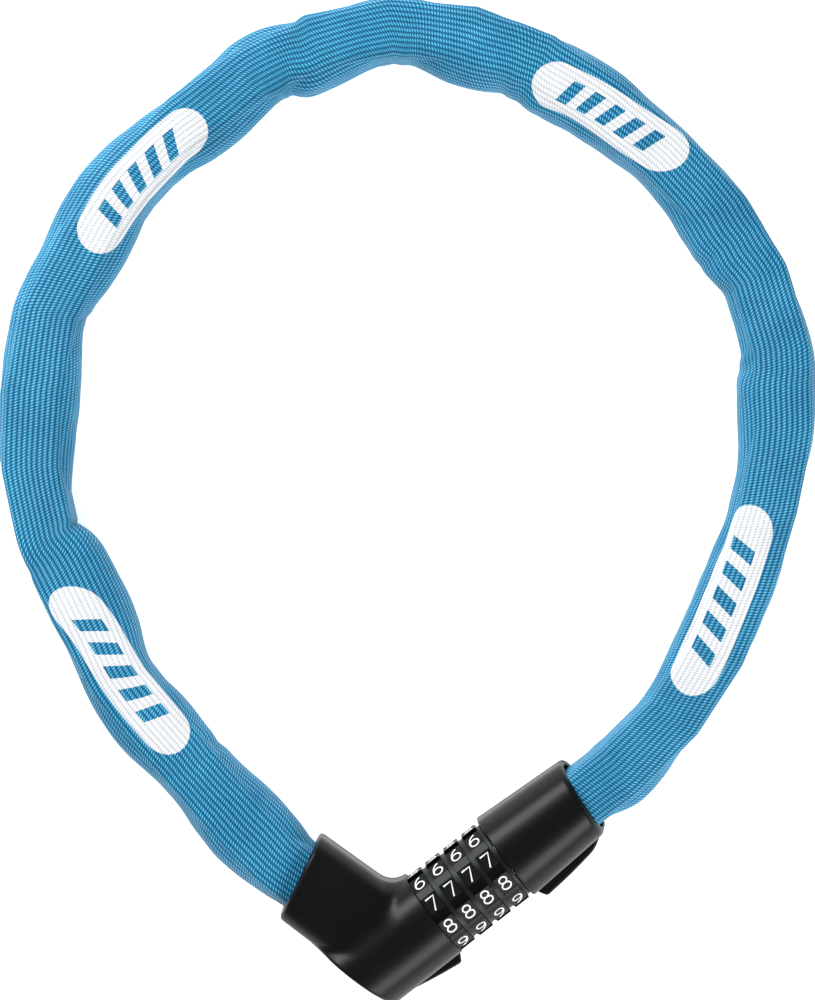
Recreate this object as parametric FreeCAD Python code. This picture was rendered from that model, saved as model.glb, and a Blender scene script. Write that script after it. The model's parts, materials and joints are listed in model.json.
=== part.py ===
"""Combination chain lock: a fabric-covered square-link chain closed by a four-wheel lock.

Frame: millimetres, +Z up. The lock lies flat on z = 0 with the chain closed into a loop.
The origin is the centre of the loop's outline on that plane, and +Y points away from the lock.
Each sub-part is one node, written to parts/NODE.step.
"""
import FreeCAD, Part
import math
import os

V = FreeCAD.Vector
UP = V(0, 0, 1)

# ---------------------------------------------------------------- driving dimensions
# Lock axis: the four number wheels turn about it. Lock space has X along it and Y across it.
AXIS_ANGLE = 38.0              # direction of the lock axis in the loop's plane, degrees
AXIS_START = V(8.1, -129.1, 0)  # where the elbow ends and the wheel stack starts
AXIS_Z = 14.5                  # height of the lock axis

WHEEL_COUNT = 4
WHEEL_DIGITS = 10
DIGIT_ANGLE = 360.0 / WHEEL_DIGITS
WHEEL_PITCH = 7.1
WHEEL_WIDTH = 5.2
WHEEL_START = 0.4
WHEEL_R = 14.25                # corners of the raised bars
WHEEL_FACET_R = 13.75          # middle of the flat facets that carry the digits
WHEEL_NOTCH_R = 12.9           # bottom of the finger notches
NOTCH_HALF_ANGLE = 6.5         # one notch is straight up when a code is set
FACET_END_ANGLE = 30.0         # from the middle of a notch to the far edge of a facet
BAR_SETBACK = 0.8              # slope of the bar's flanks, degrees
SPACER_R = 13.1
SPACER_WIDTH = 1.6
END_RING_WIDTH = 1.1
END_RING_GAP = 0.1

BARREL_R = 9.6
BARREL_BORE_R = 5.1
BARREL_START = -22.0           # closed end, deep in the elbow
BARREL_FLOOR = 2.0             # thickness of the closed end
BARREL_SETBACK = 0.25          # from the barrel's open end to the cap
BARREL_SLOT_WIDTH = 3.4        # for the bolt's teeth
DETENT_SEAT_WIDTH = 3.2
DETENT_SEAT_R = 8.4            # from the axis to the floor of the seat
DETENT_STRIP_WIDTH = 2.8
DETENT_STRIP = 0.35            # thickness
DETENT_FINGER_R = 0.55
DETENT_FINGER_LENGTH = 2.4
DETENT_FINGER_LIFT = 9.3       # from the lock's axis to the fingers' middle
DETENT_NOTCH_R = 0.75
RING_BORE_R = 9.65             # running fit of 0.05 on the barrel
RING_R = 12.0
RING_WIDTH = 3.2
WHEEL_BORE_R = 12.05
TOOTH_TOP_R = 11.0
TOOTH_WIDTH = 3.0
TOOTH_LENGTH = 2.4
KEYWAY_TOP_R = 11.3
KEYWAY_WIDTH = 3.8
BOLT_R = 5.0
BOLT_TIP = -9.0                # deep end of the bolt when it is locked
BOLT_TAIL = 39.0
BOLT_CHAMFER = 1.2
CROSS_PIN_R = 1.5
CROSS_PIN_X = 33.0
CROSS_PIN_HALF = 9.5           # half its length

# Housings
SPLIT_Z = 8.0                  # parting plane between lower and upper shells
SIDE_R = 14.5                  # half width of the housings at the wheels
BASE_R = 7.0                   # rounding under the housings' long sides
FIN_TOP = SPLIT_Z - 1.0        # top of the finger ledges on the near side
CAP_START = 28.4
CAP_END = 60.0
CAP_END_HALF = 12.6
CAP_END_TOP = 26.2
ARM_HALF = 15.0
ARM_SHOULDER = 12.0            # the arm's sides stand upright up to here
ARM_TOP = 26.0
ELBOW_MOUTH = V(-33.7, -117.2, 0)
ELBOW_HEADING = 144.0          # the way the chain leaves the elbow, degrees
ELBOW_OUTLINE = [
    (0.3, SIDE_R + 0.4), (-4.6, SIDE_R), (-8.5, 28.0), (-12.6, 41.3), (-38.8, 28.8),
    (-34.2, 8.0), (-27.2, -SIDE_R - 0.4), (0.3, -SIDE_R - 0.4),
]
ELBOW_OUTLINE_RADII = [0.1, 5.5, 40.0, 1.0, 1.0, 60.0, 1.5, 0.4]
ELBOW_FIN = [(0.2, -12.5), (-0.8, -15.0), (-2.8, -18.3), (-27.0, -14.2), (-24.0, -10.0)]
CAP_OUTLINE = [
    (CAP_START - 2, SIDE_R + 0.6), (61.2, 12.9), (CAP_END + 1.0, 0.0), (57.6, -12.9),
    (CAP_START - 2, -SIDE_R - 0.6),
]
CAP_OUTLINE_RADII = [0.4, 3.0, 40.0, 4.0, 0.4]
CAP_FIN = [
    (CAP_START + 0.2, -11.5), (CAP_START + 0.2, -15.0), (29.6, -18.4), (49.0, -17.0),
    (57.0, -13.0), (50.0, -10.0),
]
CORE_FIT = 0.2                 # radial gap between a core and its housing
ELBOW_CORE_R = 12.4
ELBOW_CORE_START = -23.0
CAP_CORE_R = 10.8
CAP_CORE_END = 41.0
ELBOW_SCREWS = [(-25.9, -5.5), (-29.8, 4.5)]
CAP_SCREWS = [(37.6, 7.6), (37.6, -7.6)]
ELBOW_SCREW_TOP = 17.0
CAP_SCREW_TOP = 24.3
SCREW_R = 1.2
SCREW_HEAD_R = 2.3
SCREW_HEAD_Z = 0.9             # depth of the heads in the underside
SCREW_HEAD_HEIGHT = 1.3
SCREW_SLOT_WIDTH = 0.6
SCREW_SLOT_DEPTH = 0.4

# Chain: square stock, every link leans 45 degrees, the next one the other way
CHAIN_Z = 12.2
LINK_COUNT = 29
LINK_STOCK = 6.0
LINK_EDGE_R = 2.2
LINK_INNER_WIDTH = 8.2
LINK_PLAY = 1.5                # inner length beyond the pitch
ELBOW_PIVOT_DEPTH = 14.0       # from the mouth to the first pivot
CAP_PIVOT_DEPTH = 11.5
PIN_R = 2.5
PIN_PLAY = 0.3                 # between a link's end and its pin
PIN_HALF = 9.0                 # half a pin's length
YOKE_R = 9.9
YOKE_FLOOR = 2.0               # behind the slot
YOKE_SLOT_PLAY = 0.4           # either side of the link
YOKE_BACK = 2.8                # behind the link's end
YOKE_LIP = 0.4                 # beyond the pin
ELBOW_PIN_X = -ELBOW_PIVOT_DEPTH - LINK_PLAY / 2 + PIN_PLAY + PIN_R
CAP_PIN_X = CAP_END - CAP_PIVOT_DEPTH - LINK_PLAY / 2 + PIN_PLAY + PIN_R
ELBOW_LINK_END = -ELBOW_PIVOT_DEPTH - LINK_PLAY / 2 - LINK_STOCK
CAP_LINK_END = CAP_END - CAP_PIVOT_DEPTH - LINK_PLAY / 2 - LINK_STOCK

# Sleeve
SLEEVE_NECK_R = 11.0           # in and near the mouths
SLEEVE_R = 12.0                # along the loop
SLEEVE_WALL = 0.7
SLEEVE_END = 5.8               # from a pivot to the sleeve's end
SLEEVE_NECK_END = 18.0         # from a pivot to where the sleeve widens
MOUTH_R = 11.2
MOUTH_FLARE = 1.0              # extra radius at the very edge of a mouth
CLAMP_R = 11.9
CLAMP_FIT = 0.05
CLAMP_OPEN_Z = 1.65            # the clamps stop here, above the underside
ELBOW_CLAMP = (-6.1, -3.7)     # from and to, measured from the mouth
CAP_CLAMP = (-4.5, -2.7)
# Route of chain and sleeve between the two mouths: runs between these points, joined by arcs
ROUTE_MIDDLE = [
    V(-45.0, -109.0, 0), V(-68.5, -81.0, 0), V(-89.5, -58.0, 0), V(-107.0, -24.5, 0),
    V(-113.0, -11.0, 0), V(-118.0, 14.5, 0), V(-114.0, 54.5, 0), V(-97.0, 86.0, 0),
    V(-73.5, 114.5, 0), V(-44.5, 135.0, 0), V(-24.5, 144.0, 0), V(-1.0, 147.5, 0),
    V(31.5, 142.5, 0), V(64.5, 120.5, 0), V(96.0, 93.0, 0), V(114.0, 61.0, 0),
    V(118.5, 28.5, 0), V(110.5, -9.0, 0), V(98.0, -45.0, 0), V(78.5, -73.0, 0),
    V(64.9, -84.9, 0),
]
ARC_SHARE = 0.45               # part of the shorter run that each arc uses


# ---------------------------------------------------------------- placing helpers
def heading(degrees):
    """Unit vector in the loop's plane."""
    a = math.radians(degrees)
    return V(math.cos(a), math.sin(a), 0)


def lock_point(x, y, z=0.0):
    """A point given in lock space, in the part's frame."""
    along = heading(AXIS_ANGLE)
    across = heading(AXIS_ANGLE + 90)
    return AXIS_START + along * x + across * y + UP * z


def to_part(shape):
    """Move a shape from lock space to the part's frame."""
    placed = shape.copy()
    placed.rotate(V(0, 0, 0), UP, AXIS_ANGLE)
    placed.translate(AXIS_START)
    return placed


def rod(radius, start, end):
    """Solid cylinder between two points."""
    direction = end - start
    return Part.makeCylinder(radius, direction.Length, start, direction)


def axial(radius, x0, x1, z=AXIS_Z, y=0.0):
    """Cylinder along lock space X."""
    return rod(radius, V(x0, y, z), V(x1, y, z))


def ring(outer, inner, x0, x1, z=AXIS_Z):
    """Tube along lock space X."""
    return axial(outer, x0, x1, z).cut(axial(inner, x0 - 1, x1 + 1, z))


def block(x0, x1, y0, y1, z0, z1):
    """Box between two corners."""
    return Part.makeBox(x1 - x0, y1 - y0, z1 - z0, V(x0, y0, z0))


def extruded(wire, way):
    """Solid swept from a flat outline, with its faces turned outward."""
    solid = Part.Face(wire).extrude(way)
    if solid.Volume < 0:
        solid.reverse()
    return solid


def prism(points, z0, z1):
    """Upright prism on a polygon."""
    corners = [V(p[0], p[1], z0) for p in points]
    return extruded(Part.makePolygon(corners + corners[:1]), V(0, 0, z1 - z0))


def keyway(x0, x1, top, width):
    """Slot from the axis straight down to the given radius, open to the bolt's teeth."""
    return block(x0, x1, -width / 2, width / 2, AXIS_Z - top, AXIS_Z)


# ---------------------------------------------------------------- route
def elbow_pivot():
    """Where the first link hangs on the elbow's pin."""
    return ELBOW_MOUTH - heading(ELBOW_HEADING) * ELBOW_PIVOT_DEPTH


def cap_pivot():
    """Where the last link hangs on the cap's pin."""
    return lock_point(CAP_END - CAP_PIVOT_DEPTH, 0)


def route_points(start_trim=0.0, end_trim=0.0):
    """The route's corners at the chain's height, with its two ends shortened."""
    points = [elbow_pivot()] + ROUTE_MIDDLE + [cap_pivot()]
    first = (points[1] - points[0]).normalize()
    last = (points[-2] - points[-1]).normalize()
    points[0] = points[0] + first * start_trim
    points[-1] = points[-1] + last * end_trim
    return [V(p.x, p.y, CHAIN_Z) for p in points]


def route_wire(points, report=False):
    """Straight runs joined by tangent arcs, each as large as its two runs allow."""
    edges = []
    at = points[0]
    for before, corner, after in zip(points, points[1:], points[2:]):
        run_in = corner - before
        run_out = after - corner
        half_turn = run_in.getAngle(run_out) / 2
        reach = ARC_SHARE * min(run_in.Length, run_out.Length)
        radius = reach / math.tan(half_turn)
        way_in = run_in.normalize()
        way_out = run_out.normalize()
        start = corner - way_in * reach
        end = corner + way_out * reach
        to_centre = (way_out - way_in).normalize()
        middle = corner + to_centre * (radius / math.cos(half_turn) - radius)
        edges.append(Part.LineSegment(at, start).toShape())
        edges.append(Part.Arc(start, middle, end).toShape())
        at = end
        if report:
            print("route arc radius %.1f mm, turn %.1f deg" % (radius, math.degrees(2 * half_turn)))
    edges.append(Part.LineSegment(at, points[-1]).toShape())
    return Part.Wire(edges)


def step_along(dense, start_index, centre, pitch):
    """First point of the dense route that lies one pitch from the centre."""
    for i in range(start_index, len(dense) - 1):
        near = (dense[i] - centre).Length
        far = (dense[i + 1] - centre).Length
        if near <= pitch < far:
            share = (pitch - near) / (far - near)
            return i, dense[i] + (dense[i + 1] - dense[i]) * share
    return None, None


def walk_chain(dense, pitch):
    """Pivots one pitch apart along the route; also says how far the last one fell short."""
    pivots = [dense[0]]
    index = 0
    for _ in range(LINK_COUNT):
        index, point = step_along(dense, index, pivots[-1], pitch)
        if point is None:
            return pivots, -1.0
        pivots.append(point)
    return pivots, (dense[-1] - pivots[-1]).Length


def chain_pivots():
    """Pivots of all links. The pitch is the one that lands the last pivot on the cap's pin."""
    dense = route_wire(route_points()).discretize(Number=7000)
    low = 20.0
    high = 30.0
    for _ in range(50):
        pitch = (low + high) / 2
        pivots, short = walk_chain(dense, pitch)
        if short < 0:
            high = pitch
        else:
            low = pitch
    pivots, short = walk_chain(dense, low)
    pivots[-1] = dense[-1]
    return pivots, low


# ---------------------------------------------------------------- chain
def link_shape(pitch, lean):
    """One link from its pivot at the origin along +X, leaning about X."""
    inner_r = LINK_INNER_WIDTH / 2
    outer_r = inner_r + LINK_STOCK
    inner_length = pitch + LINK_PLAY
    low = -LINK_PLAY / 2 + inner_r
    high = low + inner_length - 2 * inner_r
    half = LINK_STOCK / 2

    def stadium(radius, z0, z1):
        ends = [Part.makeCylinder(radius, z1 - z0, V(x, 0, z0)) for x in (low, high)]
        middle = block(low, high, -radius, radius, z0, z1)
        return middle.fuse(ends).removeSplitter()

    link = stadium(outer_r, -half, half).cut(stadium(inner_r, -half - 1, half + 1))
    rims = [e for e in link.Edges if abs(abs(e.BoundBox.ZMin) - half) < 1e-6
            and e.BoundBox.ZLength < 1e-6]
    link = link.makeFillet(LINK_EDGE_R, rims)
    link.rotate(V(0, 0, 0), V(1, 0, 0), lean)
    return link


def link_lean(number):
    """Links lean alternately, 45 degrees each way."""
    return 45.0 if number % 2 else -45.0


def chain_links():
    """All links, each laid from its pivot to the next."""
    pivots, pitch = chain_pivots()
    print("chain pitch %.3f mm, %d links" % (pitch, LINK_COUNT))
    nodes = {}
    for i in range(LINK_COUNT):
        number = i + 1
        way = pivots[i + 1] - pivots[i]
        link = link_shape(pitch, link_lean(number))
        link.rotate(V(0, 0, 0), UP, math.degrees(math.atan2(way.y, way.x)))
        link.translate(pivots[i])
        nodes["chain_link_%02d" % number] = link
    return nodes


def tube_along(points, radius):
    """Solid round bar swept along the route through the given points."""
    path = route_wire(points)
    circle = Part.Wire(Part.makeCircle(radius, points[0], points[1] - points[0]))
    return path.makePipeShell([circle], True, False)


def sleeve():
    """Woven tube over the chain: narrow necks in the mouths, wider along the loop."""
    whole = route_points(SLEEVE_END, SLEEVE_END)
    wide = route_points(SLEEVE_NECK_END, SLEEVE_NECK_END)
    hollow = route_points(SLEEVE_NECK_END + SLEEVE_WALL, SLEEVE_NECK_END + SLEEVE_WALL)
    tube = tube_along(whole, SLEEVE_NECK_R).fuse(tube_along(wide, SLEEVE_R))
    tube = tube.cut(tube_along(whole, SLEEVE_NECK_R - SLEEVE_WALL))
    tube = tube.cut(tube_along(hollow, SLEEVE_R - SLEEVE_WALL))
    report_tube(wide)
    print("sleeve length %.1f mm" % route_wire(whole).Length)
    return tube.removeSplitter()


def report_tube(points):
    """Print the arcs, and the wide tube's volume against section times length."""
    path = route_wire(points, report=True)
    bar = tube_along(points, SLEEVE_R)
    expected = math.pi * SLEEVE_R ** 2 * path.Length
    print("sleeve volume ratio %.4f" % (bar.Volume / expected))


# ---------------------------------------------------------------- wheel stack (lock space)
def wheel_x(i):
    """Start of a wheel along the lock's axis."""
    return WHEEL_START + i * WHEEL_PITCH


def number_wheel(i):
    """Flat digit facets in pairs, with a raised bar inside each pair and a notch between pairs."""
    pair = 2 * DIGIT_ANGLE
    facet_half = (FACET_END_ANGLE - NOTCH_HALF_ANGLE) / 2
    corner_r = WHEEL_FACET_R / math.cos(math.radians(facet_half))
    bar_angle = FACET_END_ANGLE + BAR_SETBACK
    rim = []
    for k in range(WHEEL_DIGITS // 2):
        for offset, radius in (
            (-NOTCH_HALF_ANGLE, WHEEL_NOTCH_R), (0.0, WHEEL_NOTCH_R),
            (NOTCH_HALF_ANGLE, WHEEL_NOTCH_R),
            (NOTCH_HALF_ANGLE, corner_r), (FACET_END_ANGLE, corner_r),
            (bar_angle, WHEEL_R), (pair / 2, WHEEL_R), (pair - bar_angle, WHEEL_R),
            (pair - FACET_END_ANGLE, corner_r), (pair - NOTCH_HALF_ANGLE, corner_r),
        ):
            rim.append((math.radians(90.0 + k * pair + offset), radius))
    corners = [V(wheel_x(i), r * math.cos(a), AXIS_Z + r * math.sin(a)) for a, r in rim]
    wheel = extruded(Part.makePolygon(corners + corners[:1]), V(WHEEL_WIDTH, 0, 0))
    return wheel.cut(axial(WHEEL_BORE_R, wheel_x(i) - 1, wheel_x(i) + WHEEL_WIDTH + 1))


def code_ring(i):
    """Metal ring inside a wheel: a gate for the bolt's tooth and ten detent notches."""
    x0 = wheel_x(i) + (WHEEL_WIDTH - RING_WIDTH) / 2
    x1 = x0 + RING_WIDTH
    body = ring(RING_R, RING_BORE_R, x0, x1)
    body = body.cut(keyway(x0 - 1, x1 + 1, KEYWAY_TOP_R, KEYWAY_WIDTH))
    for k in range(WHEEL_DIGITS):
        a = math.radians(90 + DIGIT_ANGLE * k)
        y = RING_BORE_R * math.cos(a)
        z = AXIS_Z + RING_BORE_R * math.sin(a)
        body = body.cut(axial(DETENT_NOTCH_R, x0 - 1, x1 + 1, z, y))
    return body


def spacer(x0, width):
    """Fixed ring on the barrel, notched where the bolt's teeth pass."""
    body = ring(SPACER_R, RING_BORE_R, x0, x0 + width)
    return body.cut(keyway(x0 - 1, x0 + width + 1, KEYWAY_TOP_R, KEYWAY_WIDTH))


def spacer_rings():
    """One fixed ring in each gap between two wheels."""
    gap = WHEEL_PITCH - WHEEL_WIDTH
    inset = (gap - SPACER_WIDTH) / 2
    return [spacer(wheel_x(i) + WHEEL_WIDTH + inset, SPACER_WIDTH) for i in range(WHEEL_COUNT - 1)]


def stack_end_ring():
    """Ring that closes the stack beside the last wheel."""
    return spacer(wheel_x(WHEEL_COUNT - 1) + WHEEL_WIDTH + END_RING_GAP, END_RING_WIDTH)


def barrel():
    """Tube that carries the rings, with a slot for the bolt's teeth and a seat for the detent."""
    end = CAP_START - BARREL_SETBACK
    floor = BARREL_START + BARREL_FLOOR
    slot_half = BARREL_SLOT_WIDTH / 2
    seat_half = DETENT_SEAT_WIDTH / 2
    body = ring(BARREL_R, BARREL_BORE_R, floor, end)
    body = body.fuse(axial(BARREL_R, BARREL_START, floor))
    body = body.cut(block(-3.0, end + 1, -slot_half, slot_half, AXIS_Z - BARREL_R - 1, AXIS_Z))
    body = body.cut(block(-1.0, end - 1.0, -seat_half, seat_half,
                          AXIS_Z + DETENT_SEAT_R, AXIS_Z + BARREL_R + 1))
    return body.removeSplitter()


def detent_comb():
    """Spring strip on top of the barrel with one rounded finger under each code ring."""
    half = DETENT_STRIP_WIDTH / 2
    base = AXIS_Z + DETENT_SEAT_R + 0.05
    lift = AXIS_Z + DETENT_FINGER_LIFT
    strip = block(-0.8, CAP_START - 1.45, -half, half, base, base + DETENT_STRIP)
    for i in range(WHEEL_COUNT):
        x0 = wheel_x(i) + (WHEEL_WIDTH - DETENT_FINGER_LENGTH) / 2
        x1 = x0 + DETENT_FINGER_LENGTH
        strip = strip.fuse(axial(DETENT_FINGER_R, x0, x1, lift))
        strip = strip.fuse(block(x0, x1, -DETENT_FINGER_R, DETENT_FINGER_R, base + 0.15, lift))
    return strip.removeSplitter()


def locking_bolt():
    """Rod with one tooth to the left of each code ring."""
    body = axial(BOLT_R, BOLT_TIP, BOLT_TAIL)
    tip = [e for e in body.Edges if abs(e.BoundBox.XMax - BOLT_TIP) < 1e-6]
    body = body.makeChamfer(BOLT_CHAMFER, tip)
    for i in range(WHEEL_COUNT):
        middle = wheel_x(i) - (WHEEL_PITCH - WHEEL_WIDTH) / 2
        x0 = middle - TOOTH_LENGTH / 2
        tooth = block(x0, x0 + TOOTH_LENGTH, -TOOTH_WIDTH / 2, TOOTH_WIDTH / 2,
                      AXIS_Z - TOOTH_TOP_R, AXIS_Z - BOLT_R + 1)
        body = body.fuse(tooth)
    return body.cut(cross_pin(BOLT_R + 1)).removeSplitter()


def cross_pin(half_length):
    """Pin across the lock's axis that ties the bolt to the cap's core."""
    return rod(CROSS_PIN_R, V(CROSS_PIN_X, -half_length, AXIS_Z), V(CROSS_PIN_X, half_length, AXIS_Z))


# ---------------------------------------------------------------- housings (lock space)
def dome_profile(half, shoulder, top, x):
    """Closed profile in the YZ plane: base with rounded edges, upright sides, elliptical crown."""
    rise = top - shoulder
    centre = V(x, 0, shoulder)
    side = V(x, half, shoulder)
    if rise > half:
        ellipse = Part.Ellipse(V(x, 0, top), side, centre)
        crown = Part.ArcOfEllipse(ellipse, -math.pi / 2, math.pi / 2)
    else:
        ellipse = Part.Ellipse(side, V(x, 0, top), centre)
        crown = Part.ArcOfEllipse(ellipse, 0, math.pi)
    crown = crown.toShape()
    ends = sorted([v.Point for v in crown.Vertexes], key=lambda p: p.y)
    edges = [crown]
    for end, sign in zip(ends, (-1, 1)):
        foot = V(x, end.y, BASE_R)
        heel = V(x, end.y - sign * BASE_R, 0)
        slope = BASE_R * math.sqrt(0.5)
        middle = V(x, end.y - sign * (BASE_R - slope), BASE_R - slope)
        edges.append(Part.makeLine(end, foot))
        edges.append(Part.Arc(foot, middle, heel).toShape())
    edges.append(Part.makeLine(V(x, ends[0].y + BASE_R, 0), V(x, ends[1].y - BASE_R, 0)))
    return Part.Wire(Part.__sortEdges__(edges))


def smooth_outline(points, z0, z1, radii):
    """Upright prism on a polygon whose corners are rounded by the given radii."""
    edges = []
    count = len(points)
    corners = [V(p[0], p[1], z0) for p in points]
    ends = []
    for i in range(count):
        before = corners[i - 1]
        corner = corners[i]
        after = corners[(i + 1) % count]
        way_in = (corner - before).normalize()
        way_out = (after - corner).normalize()
        half_turn = way_in.getAngle(way_out) / 2
        reach = radii[i] * math.tan(half_turn)
        start = corner - way_in * reach
        end = corner + way_out * reach
        to_centre = (way_out - way_in).normalize()
        middle = corner + to_centre * (radii[i] / math.cos(half_turn) - radii[i])
        ends.append((start, middle, end))
    for i in range(count):
        start, middle, end = ends[i]
        edges.append(Part.Arc(start, middle, end).toShape())
        edges.append(Part.makeLine(end, ends[(i + 1) % count][0]))
    return extruded(Part.Wire(edges), V(0, 0, z1 - z0))


def arm_frame(shape):
    """Turn a shape built along X, from the mouth inwards at X = 0, to the elbow's arm."""
    placed = shape.copy()
    placed.rotate(V(0, 0, 0), UP, ELBOW_HEADING - AXIS_ANGLE + 180)
    offset = ELBOW_MOUTH - AXIS_START
    turn = FreeCAD.Rotation(UP, -AXIS_ANGLE)
    placed.translate(turn.multVec(offset))
    return placed


def elbow_body():
    """Elbow before it is split: a barrel part and an arm that meet in a soft valley."""
    barrel_part = extruded(dome_profile(SIDE_R, AXIS_Z, AXIS_Z + SIDE_R, 3.0), V(-48, 0, 0))
    arm_part = extruded(dome_profile(ARM_HALF, ARM_SHOULDER, ARM_TOP, -2.0), V(50, 0, 0))
    arm_part = arm_frame(arm_part)
    outline = smooth_outline(ELBOW_OUTLINE, -5, 40, ELBOW_OUTLINE_RADII)
    body = barrel_part.fuse(arm_part).common(outline)
    return body.fuse(prism(ELBOW_FIN, 0, FIN_TOP))


def elbow_hollow():
    """Room for the core, the anchor, the sleeve and its clamp."""
    core_room = axial(ELBOW_CORE_R + CORE_FIT, ELBOW_CORE_START - CORE_FIT, 1.0)
    arm_room = arm_frame(rod(MOUTH_R, V(-4, 0, CHAIN_Z), V(25.5, 0, CHAIN_Z)))
    flare = Part.makeCone(MOUTH_R + MOUTH_FLARE, MOUTH_R, 1.4, V(-0.2, 0, CHAIN_Z), V(1, 0, 0))
    groove = clamp_groove(-ELBOW_CLAMP[1] - 0.1, -ELBOW_CLAMP[0] + 0.1)
    return core_room.fuse([arm_room, arm_frame(flare), arm_frame(groove)])


def clamp_groove(x0, x1):
    """Seat of a sleeve clamp; it stops short of the underside."""
    groove = rod(CLAMP_R + CLAMP_FIT, V(x0, 0, CHAIN_Z), V(x1, 0, CHAIN_Z))
    return groove.common(block(x0 - 1, x1 + 1, -13, 13, CLAMP_OPEN_Z - CLAMP_FIT, 30))


def sleeve_clamp(x0, x1):
    """Open spring clip round the sleeve's end."""
    clip = rod(CLAMP_R, V(x0, 0, CHAIN_Z), V(x1, 0, CHAIN_Z))
    inner_r = SLEEVE_NECK_R + CLAMP_FIT
    clip = clip.cut(rod(inner_r, V(x0 - 1, 0, CHAIN_Z), V(x1 + 1, 0, CHAIN_Z)))
    return clip.common(block(x0 - 1, x1 + 1, -13, 13, CLAMP_OPEN_Z, 30))


def screw(x, y, top):
    """Countersunk screw set into the underside."""
    reach = SCREW_HEAD_R + 0.1
    half = SCREW_SLOT_WIDTH / 2
    shank = rod(SCREW_R, V(x, y, 2.0), V(x, y, top))
    head = Part.makeCone(SCREW_HEAD_R, SCREW_R, SCREW_HEAD_HEIGHT, V(x, y, SCREW_HEAD_Z), UP)
    slot = block(x - reach, x + reach, y - half, y + half,
                 SCREW_HEAD_Z - 0.1, SCREW_HEAD_Z + SCREW_SLOT_DEPTH)
    return shank.fuse(head).cut(slot).removeSplitter()


def screw_hole(x, y, top):
    """Hole for a screw, a little larger than the screw all round."""
    head_r = SCREW_HEAD_R + 0.05
    shank = rod(SCREW_R + 0.02, V(x, y, -1), V(x, y, top + 0.3))
    head = Part.makeCone(head_r, SCREW_R, SCREW_HEAD_HEIGHT + 0.05, V(x, y, SCREW_HEAD_Z), UP)
    entry = rod(head_r, V(x, y, -1), V(x, y, SCREW_HEAD_Z))
    return shank.fuse([head, entry])


def elbow_shells():
    """The elbow's lower and upper shells."""
    body = elbow_body().cut(elbow_hollow())
    for x, y in ELBOW_SCREWS:
        body = body.cut(screw_hole(x, y, ELBOW_SCREW_TOP))
    return split_shell(body)


def split_shell(body):
    """Lower and upper halves either side of the parting plane."""
    lower = body.common(block(-80, 80, -80, 80, -1, SPLIT_Z))
    upper = body.common(block(-80, 80, -80, 80, SPLIT_Z, 60))
    return lower.removeSplitter(), upper.removeSplitter()


def cap_body():
    """Cap before it is split: it narrows from the wheels to its mouth."""
    near = dome_profile(SIDE_R, AXIS_Z, AXIS_Z + SIDE_R, CAP_START)
    far = dome_profile(CAP_END_HALF, ARM_SHOULDER, CAP_END_TOP, 62.0)
    body = Part.makeLoft([near, far], True, True)
    body = body.common(smooth_outline(CAP_OUTLINE, -5, 40, CAP_OUTLINE_RADII))
    return body.fuse(prism(CAP_FIN, 0, FIN_TOP))


def cap_hollow():
    """Room for the core, the yoke, the sleeve and its clamp."""
    bore = MOUTH_R - 0.1
    core_room = axial(CAP_CORE_R + CORE_FIT, CAP_START - 1, CAP_CORE_END + CORE_FIT)
    yoke_room = rod(bore, V(CAP_CORE_END - 1.0, 0, CHAIN_Z), V(CAP_END + 4, 0, CHAIN_Z))
    flare = Part.makeCone(bore, bore + MOUTH_FLARE, 1.6, V(CAP_END - 1.0, 0, CHAIN_Z), V(1, 0, 0))
    groove = clamp_groove(CAP_END + CAP_CLAMP[0] - 0.1, CAP_END + CAP_CLAMP[1] + 0.1)
    return core_room.fuse([yoke_room, flare, groove])


def cap_shells():
    """The cap's lower and upper shells."""
    body = cap_body().cut(cap_hollow())
    for x, y in CAP_SCREWS:
        body = body.cut(screw_hole(x, y, CAP_SCREW_TOP))
    return split_shell(body)


def yoke(link_end, pin_x, lean):
    """Block with a slot for a link's end and a cross hole for the chain pin, along +X."""
    x0 = link_end - YOKE_BACK
    x1 = pin_x + PIN_R + YOKE_LIP
    half = LINK_STOCK / 2 + YOKE_SLOT_PLAY
    body = rod(YOKE_R, V(x0, 0, CHAIN_Z), V(x1, 0, CHAIN_Z))
    slot = block(x0 + YOKE_FLOOR, x1 + 1, -YOKE_R - 1, YOKE_R + 1, -half, half)
    slot.rotate(V(0, 0, 0), V(1, 0, 0), lean)
    slot.translate(V(0, 0, CHAIN_Z))
    return body.cut(slot).cut(chain_pin(pin_x, lean, YOKE_R + 1))


def chain_pin(x, lean, half_length):
    """Pin across a link's opening, square to the link."""
    pin = rod(PIN_R, V(x, 0, -half_length), V(x, 0, half_length))
    pin.rotate(V(0, 0, 0), V(1, 0, 0), lean)
    pin.translate(V(0, 0, CHAIN_Z))
    return pin


def from_mouth(shape):
    """Place a shape built with the elbow's mouth at X = 0 and the chain leaving along +X."""
    placed = shape.copy()
    placed.rotate(V(0, 0, 0), UP, ELBOW_HEADING)
    placed.translate(ELBOW_MOUTH)
    return placed


def elbow_core():
    """Casting that holds the barrel in the elbow."""
    body = axial(ELBOW_CORE_R, ELBOW_CORE_START, -0.1)
    body = body.cut(axial(BARREL_R, BARREL_START, 1.0))
    body = body.cut(keyway(-3.0, 1.0, KEYWAY_TOP_R, KEYWAY_WIDTH))
    arm_room = arm_frame(rod(YOKE_R + 0.4, V(-3, 0, CHAIN_Z), V(25.5, 0, CHAIN_Z)))
    return body.cut(arm_room)


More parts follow.
